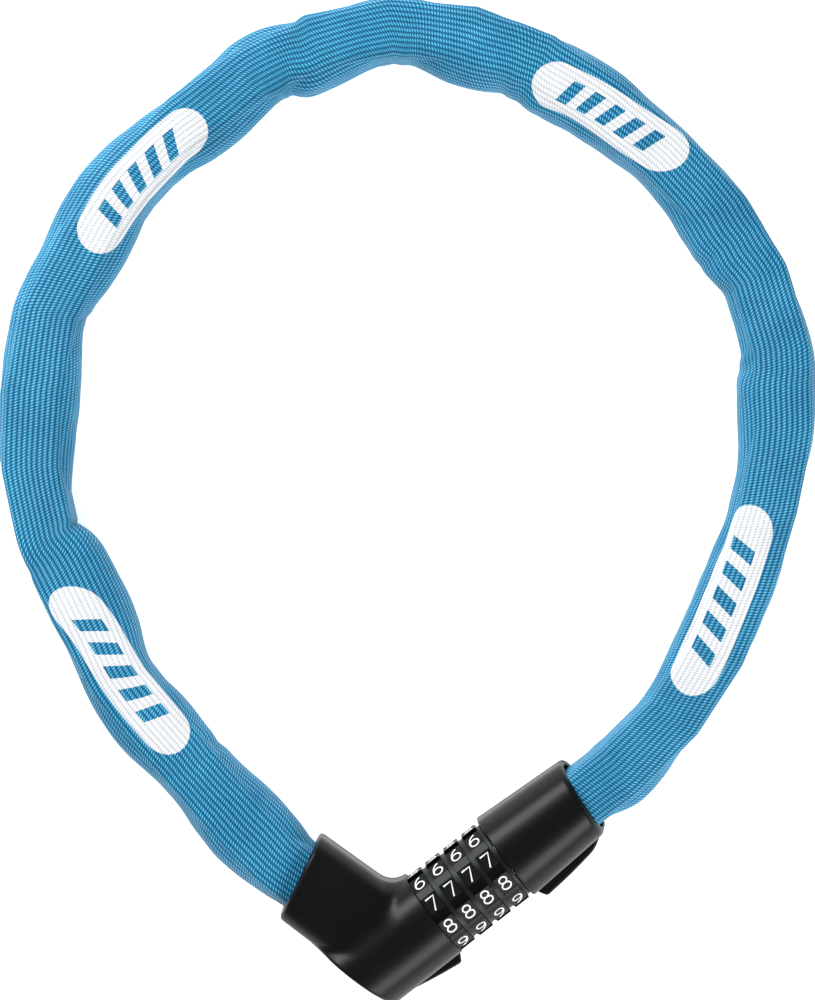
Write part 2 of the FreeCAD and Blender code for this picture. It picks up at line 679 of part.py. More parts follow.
def cap_core():
    """Casting in the cap: bolt socket on the wheel side, yoke for the chain on the other."""
    body = axial(CAP_CORE_R, CAP_START + 0.6, CAP_CORE_END)
    body = body.cut(axial(BOLT_R, CAP_START - 1, BOLT_TAIL))
    body = body.cut(cross_pin(CAP_CORE_R + 1))
    for x, y in CAP_SCREWS:
        body = body.cut(rod(SCREW_R + 0.02, V(x, y, -1), V(x, y, 30)))
    tail = yoke(CAP_LINK_END, CAP_PIN_X, -link_lean(LINK_COUNT))
    tail = tail.common(block(CAP_CORE_END, 70, -20, 20, 0, 40))
    body = body.cut(block(CAP_LINK_END - 0.8, 60, -20, 20, 0, 40))
    return body.fuse(tail).removeSplitter()


def lock_nodes():
    """All nodes built in lock space."""
    nodes = {}
    for i in range(WHEEL_COUNT):
        nodes["number_wheel_%d" % (i + 1)] = number_wheel(i)
        nodes["code_ring_%d" % (i + 1)] = code_ring(i)
    nodes["spacer_rings"] = Part.makeCompound(spacer_rings())
    nodes["stack_end_ring"] = stack_end_ring()
    nodes["lock_barrel"] = barrel()
    nodes["detent_comb"] = detent_comb()
    nodes["locking_bolt"] = locking_bolt()
    nodes["bolt_cross_pin"] = cross_pin(CROSS_PIN_HALF)
    nodes["elbow_lower_shell"], nodes["elbow_upper_shell"] = elbow_shells()
    nodes["cap_lower_shell"], nodes["cap_upper_shell"] = cap_shells()
    nodes["elbow_core"] = elbow_core()
    nodes["cap_core"] = cap_core()
    nodes["cap_chain_pin"] = chain_pin(CAP_PIN_X, -link_lean(LINK_COUNT), PIN_HALF)
    nodes["cap_sleeve_clamp"] = sleeve_clamp(CAP_END + CAP_CLAMP[0], CAP_END + CAP_CLAMP[1])
    screws = [screw(x, y, ELBOW_SCREW_TOP) for x, y in ELBOW_SCREWS]
    nodes["elbow_screws"] = Part.makeCompound(screws)
    screws = [screw(x, y, CAP_SCREW_TOP) for x, y in CAP_SCREWS]
    nodes["cap_screws"] = Part.makeCompound(screws)
    return {name: to_part(shape) for name, shape in nodes.items()}


def arm_nodes():
    """Nodes on the elbow's arm."""
    lean = link_lean(1)
    anchor = yoke(ELBOW_LINK_END, ELBOW_PIN_X, lean)
    return {
        "elbow_chain_anchor": from_mouth(anchor),
        "elbow_chain_pin": from_mouth(chain_pin(ELBOW_PIN_X, lean, PIN_HALF)),
        "elbow_sleeve_clamp": from_mouth(sleeve_clamp(*ELBOW_CLAMP)),
    }


def main():
    os.makedirs("parts", exist_ok=True)
    nodes = {}
    nodes.update(lock_nodes())
    nodes.update(arm_nodes())
    nodes.update(chain_links())
    nodes["fabric_sleeve"] = sleeve()
    for name, shape in nodes.items():
        shape.exportStep("parts/%s.step" % name)
        if not shape.isValid():
            print("INVALID", name)
    print(len(nodes), "nodes")


main()
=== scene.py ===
import json
import math

import bpy
import numpy as np
from mathutils import Matrix, Vector, noise

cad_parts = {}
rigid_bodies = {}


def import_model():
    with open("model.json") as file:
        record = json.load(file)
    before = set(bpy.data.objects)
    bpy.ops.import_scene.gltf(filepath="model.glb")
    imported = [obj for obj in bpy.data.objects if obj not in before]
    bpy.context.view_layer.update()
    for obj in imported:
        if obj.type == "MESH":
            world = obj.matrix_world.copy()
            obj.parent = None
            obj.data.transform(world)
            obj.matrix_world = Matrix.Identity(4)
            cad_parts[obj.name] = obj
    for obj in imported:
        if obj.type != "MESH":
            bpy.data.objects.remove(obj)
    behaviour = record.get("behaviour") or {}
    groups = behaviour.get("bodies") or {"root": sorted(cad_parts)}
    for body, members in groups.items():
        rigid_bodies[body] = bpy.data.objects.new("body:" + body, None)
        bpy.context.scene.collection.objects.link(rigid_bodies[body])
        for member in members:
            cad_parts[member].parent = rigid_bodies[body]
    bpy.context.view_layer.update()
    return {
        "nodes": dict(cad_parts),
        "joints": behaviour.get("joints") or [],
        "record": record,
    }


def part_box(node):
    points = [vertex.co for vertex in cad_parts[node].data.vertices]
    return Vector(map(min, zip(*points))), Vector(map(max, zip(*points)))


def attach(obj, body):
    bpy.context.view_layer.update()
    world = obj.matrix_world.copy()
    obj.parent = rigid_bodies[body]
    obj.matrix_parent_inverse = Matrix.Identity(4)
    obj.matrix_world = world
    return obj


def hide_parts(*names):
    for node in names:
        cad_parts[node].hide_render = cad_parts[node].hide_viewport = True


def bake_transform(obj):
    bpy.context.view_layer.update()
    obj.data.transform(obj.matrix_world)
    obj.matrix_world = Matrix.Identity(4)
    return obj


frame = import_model()
MM = 0.001
scene = bpy.context.scene

# ---------------------------------------------------------------- camera
CAMERA_HEIGHT = 0.850          # above the plane through the middle of the lock
MIDDLE_Z = 0.0125
PICTURE_HEIGHT = 0.3125        # of that plane, metres
camera_data = bpy.data.cameras.new("camera")
camera_data.sensor_width = 36.0
camera_data.lens = 36.0 * CAMERA_HEIGHT / PICTURE_HEIGHT
camera_data.clip_start = 0.05
camera_data.clip_end = 20.0
camera = bpy.data.objects.new("camera", camera_data)
camera.location = (0.0, 0.0, CAMERA_HEIGHT + MIDDLE_Z)
scene.collection.objects.link(camera)
scene.camera = camera
scene.view_settings.view_transform = "Standard"

# Lock space: X along the wheel axis from the elbow's face, Y across towards the loop, Z up
LOCK_ANGLE = math.radians(38.0)
LOCK_ORIGIN = Vector((8.1, -129.1, 0.0)) * MM
LOCK = Matrix.Translation(LOCK_ORIGIN) @ Matrix.Rotation(LOCK_ANGLE, 4, "Z")
LOCK_AXIS_Z = 14.5 * MM


# ---------------------------------------------------------------- shader helpers
class Shader:
    """Small wrapper that builds one node material."""

    def __init__(self, name):
        self.material = bpy.data.materials.new(name)
        self.material.use_nodes = True
        self.tree = self.material.node_tree
        self.surface = self.tree.nodes["Principled BSDF"]

    def node(self, kind, **values):
        n = self.tree.nodes.new(kind)
        for key, value in values.items():
            setattr(n, key, value)
        return n

    def link(self, a, b):
        self.tree.links.new(a, b)

    def feed(self, socket, value):
        """A socket takes a number, a colour or another node's output."""
        if isinstance(value, bpy.types.NodeSocket):
            self.link(value, socket)
        else:
            socket.default_value = value

    def math(self, operation, a, b=0.0, c=0.0, clamp=False):
        n = self.node("ShaderNodeMath", operation=operation, use_clamp=clamp)
        for socket, value in zip(n.inputs, (a, b, c)):
            self.feed(socket, value)
        return n.outputs[0]

    def mix(self, factor, a, b):
        n = self.node("ShaderNodeMix", data_type="RGBA")
        self.feed(n.inputs[0], factor)
        self.feed(n.inputs[6], a)
        self.feed(n.inputs[7], b)
        return n.outputs[2]

    def ramp(self, factor, stops):
        n = self.node("ShaderNodeValToRGB")
        n.color_ramp.interpolation = "LINEAR"
        while len(n.color_ramp.elements) < len(stops):
            n.color_ramp.elements.new(0.5)
        for element, (position, value) in zip(n.color_ramp.elements, stops):
            element.position = position
            element.color = value if len(value) == 4 else (*value, 1.0)
        self.feed(n.inputs[0], factor)
        return n.outputs[0]

    def noise(self, scale, detail, roughness):
        n = self.node("ShaderNodeTexNoise")
        n.inputs["Scale"].default_value = scale
        n.inputs["Detail"].default_value = detail
        n.inputs["Roughness"].default_value = roughness
        self.link(self.coordinates(), n.inputs["Vector"])
        return n.outputs[0]

    def coordinates(self):
        found = self.tree.nodes.get("where") or self.node("ShaderNodeTexCoord", name="where")
        return found.outputs["Object"]

    def uv(self, name):
        n = self.node("ShaderNodeUVMap", uv_map=name)
        s = self.node("ShaderNodeSeparateXYZ")
        self.link(n.outputs[0], s.inputs[0])
        return s.outputs[0], s.outputs[1]

    def bump(self, height, strength, distance):
        n = self.node("ShaderNodeBump")
        n.inputs["Strength"].default_value = strength
        n.inputs["Distance"].default_value = distance
        self.link(height, n.inputs["Height"])
        self.link(n.outputs[0], self.surface.inputs["Normal"])

    def set(self, **values):
        for key, value in values.items():
            self.feed(self.surface.inputs[key.replace("_", " ")], value)


def srgb(r, g, b):
    """Linear colour of an 8-bit screen colour."""
    def linear(c):
        c = c / 255.0
        return c / 12.92 if c <= 0.04045 else ((c + 0.055) / 1.055) ** 2.4
    return linear(r), linear(g), linear(b), 1.0


def grey(value):
    return value, value, value, 1.0


# ---------------------------------------------------------------- materials
ROW = 1.60 * MM                # one row of the weave, around the sleeve
STITCH = 0.90 * MM             # one stitch, along the sleeve
STITCH_SLANT = -0.95           # how far a stitch leans along the sleeve, in stitches
ROW_SHIFT = 0.37               # how far each row is shifted from the last, in stitches


def weave(sh, u, v):
    """Height of a ribbed weave: rows side by side, each made of slanted cross stitches."""
    place = sh.math("DIVIDE", v, ROW)
    across = sh.math("FRACT", place)
    number = sh.math("FLOOR", place)
    crown = sh.math("SINE", sh.math("MULTIPLY", across, math.pi))
    crown = sh.math("POWER", crown, 0.7)
    along = sh.math("DIVIDE", u, STITCH)
    shifted = sh.math("ADD", along, sh.math("MULTIPLY", number, ROW_SHIFT))
    slanted = sh.math("ADD", shifted, sh.math("MULTIPLY", across, STITCH_SLANT))
    stitch = sh.math("COSINE", sh.math("MULTIPLY", slanted, 2 * math.pi))
    stitch = sh.math("MULTIPLY_ADD", stitch, 0.5, 0.5)
    return sh.math("MULTIPLY", crown, sh.math("MULTIPLY_ADD", stitch, 0.68, 0.26))


def capsule_mask(sh, x, y, length, width, edge=0.25 * MM):
    """1 inside a straight-sided shape with round ends, 0 outside."""
    half = (length - width) / 2
    along = sh.math("MAXIMUM", sh.math("SUBTRACT", sh.math("ABSOLUTE", x), half), 0.0)
    squares = sh.math("ADD", sh.math("POWER", along, 2.0), sh.math("POWER", sh.math("ABSOLUTE", y), 2.0))
    distance = sh.math("SUBTRACT", sh.math("SQRT", squares), width / 2)
    return sh.math("MULTIPLY_ADD", distance, -1.0 / edge, 0.5, clamp=True)


def sleeve_material():
    sh = Shader("sleeve_fabric")
    u, v = sh.uv("weave")
    height = weave(sh, u, v)
    cloud = sh.noise(60.0, 4.0, 0.6)
    fine = sh.noise(2500.0, 2.0, 0.7)
    # Weave height plus random cloudy tone: it paints the stitch crowns lighter as painted highlight and the
    # gaps between stitches darker as painted shade.
    weave_painted_light_and_tone = sh.math("ADD", height, sh.math("MULTIPLY_ADD", cloud, 0.30, -0.15))
    weave_painted_light_and_tone = sh.math("ADD", weave_painted_light_and_tone, sh.math("MULTIPLY_ADD", fine, 0.36, -0.18), clamp=True)
    # Blue from dark in the gaps between stitches (painted shade) to whitish on the crowns (painted
    # highlights: glints on the yarn).
    blue = sh.ramp(weave_painted_light_and_tone, [
        (0.0, srgb(0, 58, 92)), (0.30, srgb(0, 96, 138)), (0.62, srgb(19, 136, 178)),
        (1.0, srgb(118, 204, 235))])
    bx, by = sh.uv("badge")
    badge = capsule_mask(sh, bx, by, BADGE_LENGTH, BADGE_WIDTH)
    # The badge's white gets the same painted highlight on the crowns and painted shade in the gaps.
    white = sh.ramp(weave_painted_light_and_tone, [
        (0.0, srgb(176, 182, 188)), (0.5, srgb(222, 224, 228)), (1.0, srgb(246, 247, 249))])
    colour = sh.mix(badge, blue, white)
    bars = badge_bars(sh, bx, by)
    colour = sh.mix(bars, colour, blue)
    sh.set(Base_Color=colour)
    sh.set(Roughness=sh.math("MULTIPLY_ADD", weave_painted_light_and_tone, -0.18, 0.62))
    sh.set(Specular_IOR_Level=0.28)
    sh.set(Sheen_Weight=0.03, Sheen_Roughness=0.4, Sheen_Tint=srgb(150, 215, 240))
    sh.bump(sh.math("ADD", height, sh.math("MULTIPLY", fine, 0.25)), 0.75, 0.30 * MM)
    return sh.material


BADGE_LENGTH = 53.6 * MM
BADGE_WIDTH = 15.6 * MM
BAR_PITCH = 7.2 * MM
BAR_SLANT = 0.35
BAR_HALF = 0.26                # half a bar's width, as a share of the pitch
BAR_REACH = 3.9 * MM           # half a bar's height
BAR_COUNT = 5


def badge_bars(sh, x, y):
    """Five slanted blue bars in the middle of a badge."""
    slid = sh.math("MULTIPLY_ADD", y, -BAR_SLANT, x)
    step = sh.math("SUBTRACT", sh.math("FRACT", sh.math("MULTIPLY_ADD", slid, 1.0 / BAR_PITCH, 50.5)), 0.5)
    bar = sh.math("LESS_THAN", sh.math("ABSOLUTE", step), BAR_HALF)
    ends = sh.math("LESS_THAN", sh.math("ABSOLUTE", slid), BAR_COUNT / 2 * BAR_PITCH)
    sides = sh.math("LESS_THAN", sh.math("ABSOLUTE", y), BAR_REACH)
    return sh.math("MULTIPLY", sh.math("MULTIPLY", bar, ends), sides)


def plastic_material(name, base, roughness, grain):
    """Moulded satin plastic: fine erosion grain, a little colour variation, soft sheen."""
    sh = Shader(name)
    cloud = sh.noise(45.0, 4.0, 0.55)
    fine = sh.noise(4200.0, 3.0, 0.6)
    dark = tuple(c * 0.80 for c in base[:3]) + (1.0,)
    light = tuple(c * 1.25 for c in base[:3]) + (1.0,)
    sh.set(Base_Color=sh.ramp(cloud, [(0.3, dark), (0.7, light)]))
    sh.set(Roughness=sh.math("MULTIPLY_ADD", cloud, 0.10, roughness - 0.05))
    sh.set(Specular_IOR_Level=0.16)
    sh.bump(fine, grain, 0.02 * MM)
    return sh.material


def metal_material(name, base, roughness, scratch):
    """Turned or rolled metal with fine scratches and a little tarnish."""
    sh = Shader(name)
    cloud = sh.noise(140.0, 5.0, 0.6)
    fine = sh.noise(3000.0, 2.0, 0.5)
    dark = tuple(c * 0.62 for c in base[:3]) + (1.0,)
    sh.set(Base_Color=sh.ramp(cloud, [(0.25, dark), (0.65, base)]))
    sh.set(Metallic=1.0)
    sh.set(Roughness=sh.math("MULTIPLY_ADD", cloud, 0.18, roughness - 0.08))
    sh.bump(fine, scratch, 0.02 * MM)
    return sh.material


def paint_material():
    sh = Shader("digit_paint")
    cloud = sh.noise(900.0, 3.0, 0.6)
    sh.set(Base_Color=sh.ramp(cloud, [(0.2, srgb(216, 218, 220)), (0.7, srgb(246, 247, 248))]))
    sh.set(Roughness=sh.math("MULTIPLY_ADD", cloud, 0.15, 0.42))
    sh.bump(cloud, 0.2, 0.02 * MM)
    return sh.material


fabric = sleeve_material()
shell_plastic = plastic_material("shell_plastic", srgb(8, 10, 11), 0.34, 0.10)
wheel_plastic = plastic_material("wheel_plastic", srgb(8, 9, 10), 0.36, 0.14)
spacer_metal = metal_material("spacer_metal", srgb(44, 47, 49), 0.46, 0.12)
turned_steel = metal_material("turned_steel", srgb(172, 174, 176), 0.30, 0.15)
hard_steel = metal_material("hard_steel", srgb(150, 152, 155), 0.28, 0.12)
spring_steel = metal_material("spring_steel", srgb(160, 158, 150), 0.30, 0.10)
screw_steel = metal_material("screw_steel", srgb(92, 94, 97), 0.36, 0.18)
zinc_casting = metal_material("zinc_casting", srgb(140, 142, 145), 0.50, 0.30)
chain_steel = metal_material("chain_steel", srgb(165, 163, 152), 0.38, 0.20)
digit_paint = paint_material()

BY_SLOT = {
    "shell_plastic": shell_plastic, "wheel_plastic": wheel_plastic, "spacer_metal": spacer_metal,
    "turned_steel": turned_steel, "hard_steel": hard_steel, "spring_steel": spring_steel,
    "screw_steel": screw_steel, "zinc_casting": zinc_casting, "chain_steel": chain_steel,
    "sleeve_fabric": fabric,
}


def node_slots():
    """CAD node name to material slot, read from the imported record."""
    return {part["node"]: part["material_slot"] for part in frame["record"]["subparts"]}


def dress_cad_nodes():
    for name, obj in frame["nodes"].items():
        material = BY_SLOT[SLOT_OF[name]]
        for place in obj.material_slots:
            place.link = "OBJECT"
            place.material = material
        if not obj.material_slots:
            obj.data.materials.append(material)


# ---------------------------------------------------------------- sleeve
# Centre and full width of the sleeve, mm, from the elbow to the cap at steps of 6 to 17 mm
STATIONS = [
    (-27.2, -121.9, 20.0), (-33.7, -117.2, 21.3), (-38.4, -113.8, 22.7), (-44.5, -107.8, 25.5),
    (-50.5, -102.0, 26.6), (-56.5, -95.5, 25.2), (-62.0, -89.0, 23.0), (-67.6, -82.7, 22.6),
    (-73.5, -76.3, 24.0), (-79.4, -70.2, 24.7), (-85.0, -63.8, 24.1), (-89.6, -56.7, 22.6),
    (-93.1, -48.9, 22.3), (-96.0, -40.8, 23.9), (-99.2, -32.8, 23.9), (-102.8, -25.1, 23.8),
    (-106.8, -17.6, 23.0), (-112.2, -11.0, 18.2), (-114.1, -2.7, 18.2), (-115.2, 5.8, 20.5),
    (-115.8, 14.3, 23.5), (-115.5, 22.8, 24.1), (-114.8, 31.4, 24.8), (-113.8, 44.0, 24.5),
    (-112.4, 56.9, 22.3), (-109.2, 64.7, 22.2), (-104.6, 71.8, 24.1), (-100.3, 79.3, 25.7),
    (-96.6, 87.1, 26.0), (-92.7, 94.8, 24.1), (-87.4, 101.3, 22.9), (-81.2, 106.9, 22.7),
    (-74.4, 112.0, 23.1), (-63.5, 119.0, 23.8), (-53.7, 127.7, 22.9), (-47.7, 133.6, 22.7),
    (-40.4, 137.2, 22.0), (-32.1, 138.0, 23.3), (-23.6, 140.9, 21.3), (-15.4, 144.3, 20.0),
    (-7.8, 147.0, 19.0), (0.8, 147.3, 18.8), (9.0, 144.5, 20.6), (17.0, 141.7, 22.9),
    (25.1, 139.5, 23.2), (33.6, 137.7, 21.7), (41.2, 133.8, 23.7), (48.9, 129.9, 24.7),
    (56.4, 125.8, 24.1), (63.4, 120.9, 23.4), (70.0, 115.6, 21.8), (80.0, 107.5, 20.9),
    (88.6, 98.2, 22.3), (96.0, 87.5, 23.9), (102.8, 76.7, 22.6), (107.7, 69.6, 19.9),
    (110.8, 61.7, 20.5), (113.7, 53.7, 21.5), (115.5, 45.4, 22.4), (115.2, 35.0, 24.1),
    (115.0, 19.8, 22.7), (113.9, 11.2, 20.6), (112.1, 2.8, 19.4), (109.0, -9.5, 20.2),
    (105.0, -21.7, 22.7), (98.3, -37.4, 22.4), (90.6, -52.7, 20.9), (84.0, -64.0, 19.2),
    (76.5, -74.1, 19.8), (71.0, -80.6, 21.8), (64.8, -86.4, 22.0), (57.6, -91.0, 18.6),
    (49.1, -97.1, 18.0),
]
# Sharp folds on the inner edge, mm: place and depth
FOLDS = [
    (-102.3, 57.8, 0.7), (-104.8, -7.0, 1.0), (-36.7, 127.5, 1.2), (-2.3, 138.4, 0.9),
    (36.7, 127.5, 1.0), (89.8, 71.9, 0.9), (104.8, 40.6, 0.9), (-60.0, -76.0, 1.0),
]
BADGES = [                     # two ends and the middle of each badge's line, mm
    ((-94.5, 84.1), (-83.0, 99.2), (-69.5, 112.5)), ((45.8, 127.8), (62.2, 119.1), (78.6, 109.1)),
    ((104.8, -10.8), (98.2, -29.3), (89.2, -51.6)), ((-75.3, -70.3), (-90.6, -50.0), (-100.8, -33.6)),
]
CHAIN_Z = 12.2                 # height of the chain's middle line
SLEEVE_LOW = 0.4
SLEEVE_HIGH = 22.4
ROWS_AROUND = 46               # weave rows
AROUND = 88                    # mesh points round the sleeve
STEP = 0.95                    # mesh step along it
CLEAR_ACROSS = 9.4             # room kept beside the chain's middle line
CLEAR_RISE = 10.1              # and above and below it
UNDERSIDE = 0.04               # badge coordinate that keeps badges off the underside, metres


def spline_at(points, i, t):
    """Catmull-Rom value between points i and i + 1."""
    p = [points[min(max(i + k, 0), len(points) - 1)] for k in (-1, 0, 1, 2)]
    return [
        0.5 * (2 * b + (c - a) * t + (2 * a - 5 * b + 4 * c - d) * t * t
               + (3 * b - a - 3 * c + d) * t ** 3)
        for a, b, c, d in zip(*p)
    ]


def sleeve_line():
    """Points every STEP along the sleeve: x, y, width and length so far."""
    dense = []
    for i in range(len(STATIONS) - 1):
        for k in range(20):
            dense.append(spline_at(STATIONS, i, k / 20))
    dense.append(list(STATIONS[-1]))
    line = [dense[0] + [0.0]]
    travelled = 0.0
    wanted = STEP
    for a, b in zip(dense, dense[1:]):
        run = math.hypot(b[0] - a[0], b[1] - a[1])
        while travelled + run >= wanted:
            t = (wanted - travelled) / run
            line.append([p + (q - p) * t for p, q in zip(a, b)] + [wanted])
            wanted += STEP
        travelled += run
    return line


LINK_REACH = 9.0               # least room beside the chain's middle line, mm
LINK_CORNER = 7.7              # the links' corners, sideways and upward of that line, mm
LINK_CORNER_RISE = 8.5


def chain_offset(chain, centre, outward):
    """How far the chain's middle line lies outward of a point of the sleeve's middle line."""
    best = None
    for a, b in zip(chain, chain[1:]):
        run = b - a
        t = min(max((centre - a).dot(run) / run.length_squared, 0.0), 1.0)
        away = a + run * t - centre
        if best is None or away.length < best.length:
            best = away
    return best.dot(outward)


def section_power(half, offset):
    """How square the section must be to hold the links' corners on one side."""
    rise = (SLEEVE_HIGH - SLEEVE_LOW) / 2
    corner = min((LINK_CORNER + offset) / half, 0.97)
    for power in (2.3, 2.45, 2.6, 2.8, 3.0, 3.3, 3.6, 4.0):
        if max(corner, 0.0) ** power + (LINK_CORNER_RISE / rise) ** power < 1.0:
            return power
    return 4.0


def section_point(angle, half, power):
    """Point of the sleeve's section: a rounded square-ish oval."""
    c, s = math.cos(angle), math.sin(angle)
    e = 2.0 / power
    across = half * math.copysign(abs(c) ** e, c)
    rise = (SLEEVE_HIGH - SLEEVE_LOW) / 2
    up = rise * math.copysign(abs(s) ** e, s)
    return across, (SLEEVE_HIGH + SLEEVE_LOW) / 2 + up


def fold_depth(s, q, folds):
    """Creases that fan out from each sharp fold: q is the distance from the inner edge."""
    depth = 0.0
    for place, size in folds:
        near = abs(s - place)
        if near > 30:
            continue
        fan = math.atan2(s - place, q + 4.0)
        reach = math.exp(-(q / 13.0) ** 2) * min((q + 1.5) / 6.0, 1.0)
        crease = math.exp(-(fan / 0.22) ** 2)
        ridges = math.exp(-((fan - 0.52) / 0.22) ** 2) + math.exp(-((fan + 0.52) / 0.22) ** 2)
        depth += size * reach * (crease - 0.55 * ridges)
    return depth


def smooth_rows(rows, times):
    """Evens out rows of numbers along the sleeve."""
    for _ in range(times):
        last = len(rows) - 1
        rows = [
            [0.25 * a + 0.5 * b + 0.25 * c
             for a, b, c in zip(rows[max(i - 1, 0)], row, rows[min(i + 1, last)])]
            for i, row in enumerate(rows)
        ]
    return rows


def sleeve_grid():
    """Rings of points, with the sleeve's line and the tangent, outward way and length along the sleeve at
    each ring.
    """
    line = sleeve_line()
    centres = [Vector((p[0], p[1], 0)) for p in line]
    folds = []
    for x, y, size in FOLDS:
        k = min(range(len(line)), key=lambda i: (centres[i] - Vector((x, y, 0))).length)
        folds.append((line[k][3], size))
    chain = link_pivots()
    sections = []
    for i, (x, y, width, s) in enumerate(line):
        a = centres[max(i - 3, 0)]
        b = centres[min(i + 3, len(line) - 1)]
        outward = Vector((a.y - b.y, b.x - a.x, 0)).normalized()
        offset = chain_offset(chain, centres[i], outward)
        out = max(width / 2, LINK_REACH + offset)
        inn = max(width / 2, LINK_REACH - offset)
        sections.append((out, inn, section_power(out, offset), section_power(inn, -offset)))
    sections = smooth_rows(sections, 12)
    rings, tangents = [], []
    for i, (x, y, width, s) in enumerate(line):
        a = centres[max(i - 3, 0)]
        b = centres[min(i + 3, len(line) - 1)]
        tangent = (b - a).normalized()
        outward = Vector((-tangent.y, tangent.x, 0))
        out, inn, out_power, inn_power = sections[i]
        ring = []
        for j in range(AROUND):
            angle = 2 * math.pi * j / AROUND
            outer = math.cos(angle) > 0
            half, power = (out, out_power) if outer else (inn, inn_power)
            across, z = section_point(angle, half, power)
            p = centres[i] + outward * across
            p.z = z
            middle = centres[i] + Vector((0, 0, (SLEEVE_HIGH + SLEEVE_LOW) / 2))
            away = (p - middle).normalized()
            q = abs(math.pi - angle) * 10.5
            crumple = noise.noise(Vector((s / 9.0, 3.0 * math.cos(angle), 3.0 * math.sin(angle))))
            long_crumple = noise.noise(Vector((s / 26.0, 1.6 * math.cos(angle) + 9, 1.6 * math.sin(angle))))
            move = 0.35 * crumple + 0.5 * long_crumple - fold_depth(s, q, folds)
            if z < 3.0:
                move = min(move, 0.0)
            spare = 0.8 * max(half - LINK_REACH - 1.0, 0.0)
            move = max(move, -0.2 - spare)
            p += away * move
            p.z = max(p.z, 0.2)
            ring.append(p)
        rings.append(ring)
        tangents.append((tangent, outward, s))
    return line, rings, tangents


def smooth_rings(rings, times):
    for _ in range(times):
        fresh = []
        for i, ring in enumerate(rings):
            before = rings[max(i - 1, 0)]
            after = rings[min(i + 1, len(rings) - 1)]
            fresh.append([
                ring[j] * 0.5 + (before[j] + after[j] + ring[j - 1] + ring[(j + 1) % AROUND]) * 0.125
                for j in range(AROUND)
            ])
        rings = fresh
    return rings


def ring_normals(rings):
    """Outward normal of every point, so that the cut pieces shade as one surface."""
    normals = []
    for i, ring in enumerate(rings):
        before = rings[max(i - 1, 0)]
        after = rings[min(i + 1, len(rings) - 1)]
        row = []
        for j in range(AROUND):
            along = after[j] - before[j]
            around = ring[(j + 1) % AROUND] - ring[j - 1]
            row.append(around.cross(along).normalized())
        normals.append(row)
    return normals


def badge_places(line, tangents, rings, arcs):
    """Of every badge: length along the sleeve and arc offset of its two ends and middle."""
    found = []
    for badge in BADGES:
        marks = []
        for x, y in badge:
            where = Vector((x, y, 0))
            k = nearest_ring(line, where)
            outward, s = tangents[k][1:]
            upper = range(2, AROUND // 2 - 1)
            j = min(upper, key=lambda i: abs((rings[k][i] - where).dot(outward)))
            marks.append((s, arcs[k][j]))
        found.append(sorted(marks))
    return found


def badge_offset(badge, s):
    """Sideways offset of a badge's line at a length along the sleeve: a parabola."""
    (s0, y0), (s1, y1), (s2, y2) = badge
    return (y0 * (s - s1) * (s - s2) / ((s0 - s1) * (s0 - s2))
            + y1 * (s - s0) * (s - s2) / ((s1 - s0) * (s1 - s2))
            + y2 * (s - s0) * (s - s1) / ((s2 - s0) * (s2 - s1)))


def badge_uv(arc_place, s, badge):
    """Badge coordinates of a point: along the sleeve and sideways, zero at the badge's middle."""
    middle = (badge[0][0] + badge[2][0]) / 2
    near = min(max(s, middle - 32), middle + 32)
    along = (s - middle) * (BADGE_LENGTH - BADGE_WIDTH) / (badge[2][0] - badge[0][0])
    return along, (arc_place - badge_offset(badge, near)) * MM


def chain_bodies():
    """The moving runs of the chain in order from the elbow, as (body, pivot in mm)."""
    found = []
    body = "root"
    while True:
        joint = next((j for j in frame["joints"]
                      if j["parent"] == body and j["name"].startswith("link_")), None)
        if joint is None:
            return found
        body = joint["child"]
        found.append((body, Vector(joint["pos_m"]) / MM))


LINK_COUNT = 29


def link_pivots():
    """All chain pivots in order from the elbow, mm: each link's middle is halfway between two."""
    middles = {}
    for number in range(1, LINK_COUNT + 1):
        low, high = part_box("chain_link_%02d" % number)
        middles[number] = Vector(((low[0] + high[0]) / 2, (low[1] + high[1]) / 2, 0)) / MM
    joint = next(j for j in frame["joints"] if j["name"].startswith("link_"))
    known = int(joint["name"].split("_")[1])
    at = Vector((joint["pos_m"][0], joint["pos_m"][1], 0)) / MM
    pivots = {known: at}
    for number in range(known, LINK_COUNT + 1):
        pivots[number + 1] = middles[number] * 2 - pivots[number]
    for number in range(known - 1, 0, -1):
        pivots[number] = middles[number] * 2 - pivots[number + 1]
    return [pivots[number] for number in sorted(pivots)]


def nearest_ring(line, point):
    """Number of the ring whose middle is nearest to a point."""
    def distance(i):
        return math.hypot(line[i][0] - point[0], line[i][1] - point[1])
    return min(range(len(line)), key=distance)


def clear_of_chain(rings, line, tangents):
    """Pushes out any point of the sleeve that would let a link's corner through."""
    chain = link_pivots()
    for i, ring in enumerate(rings):
        outward = tangents[i][1]
        centre = Vector((line[i][0], line[i][1], 0))
        offset = chain_offset(chain, centre, outward)
        for p in ring:
            across = (p - centre).dot(outward) - offset
            rise = p.z - CHAIN_Z
            size = ((abs(across) / CLEAR_ACROSS) ** 6 + (abs(rise) / CLEAR_RISE) ** 6) ** (1 / 6)
            if size < 1.0:
                grow = 1.0 / max(size, 0.2) - 1.0
                p += outward * (across * grow) + Vector((0, 0, rise * grow))
    return rings


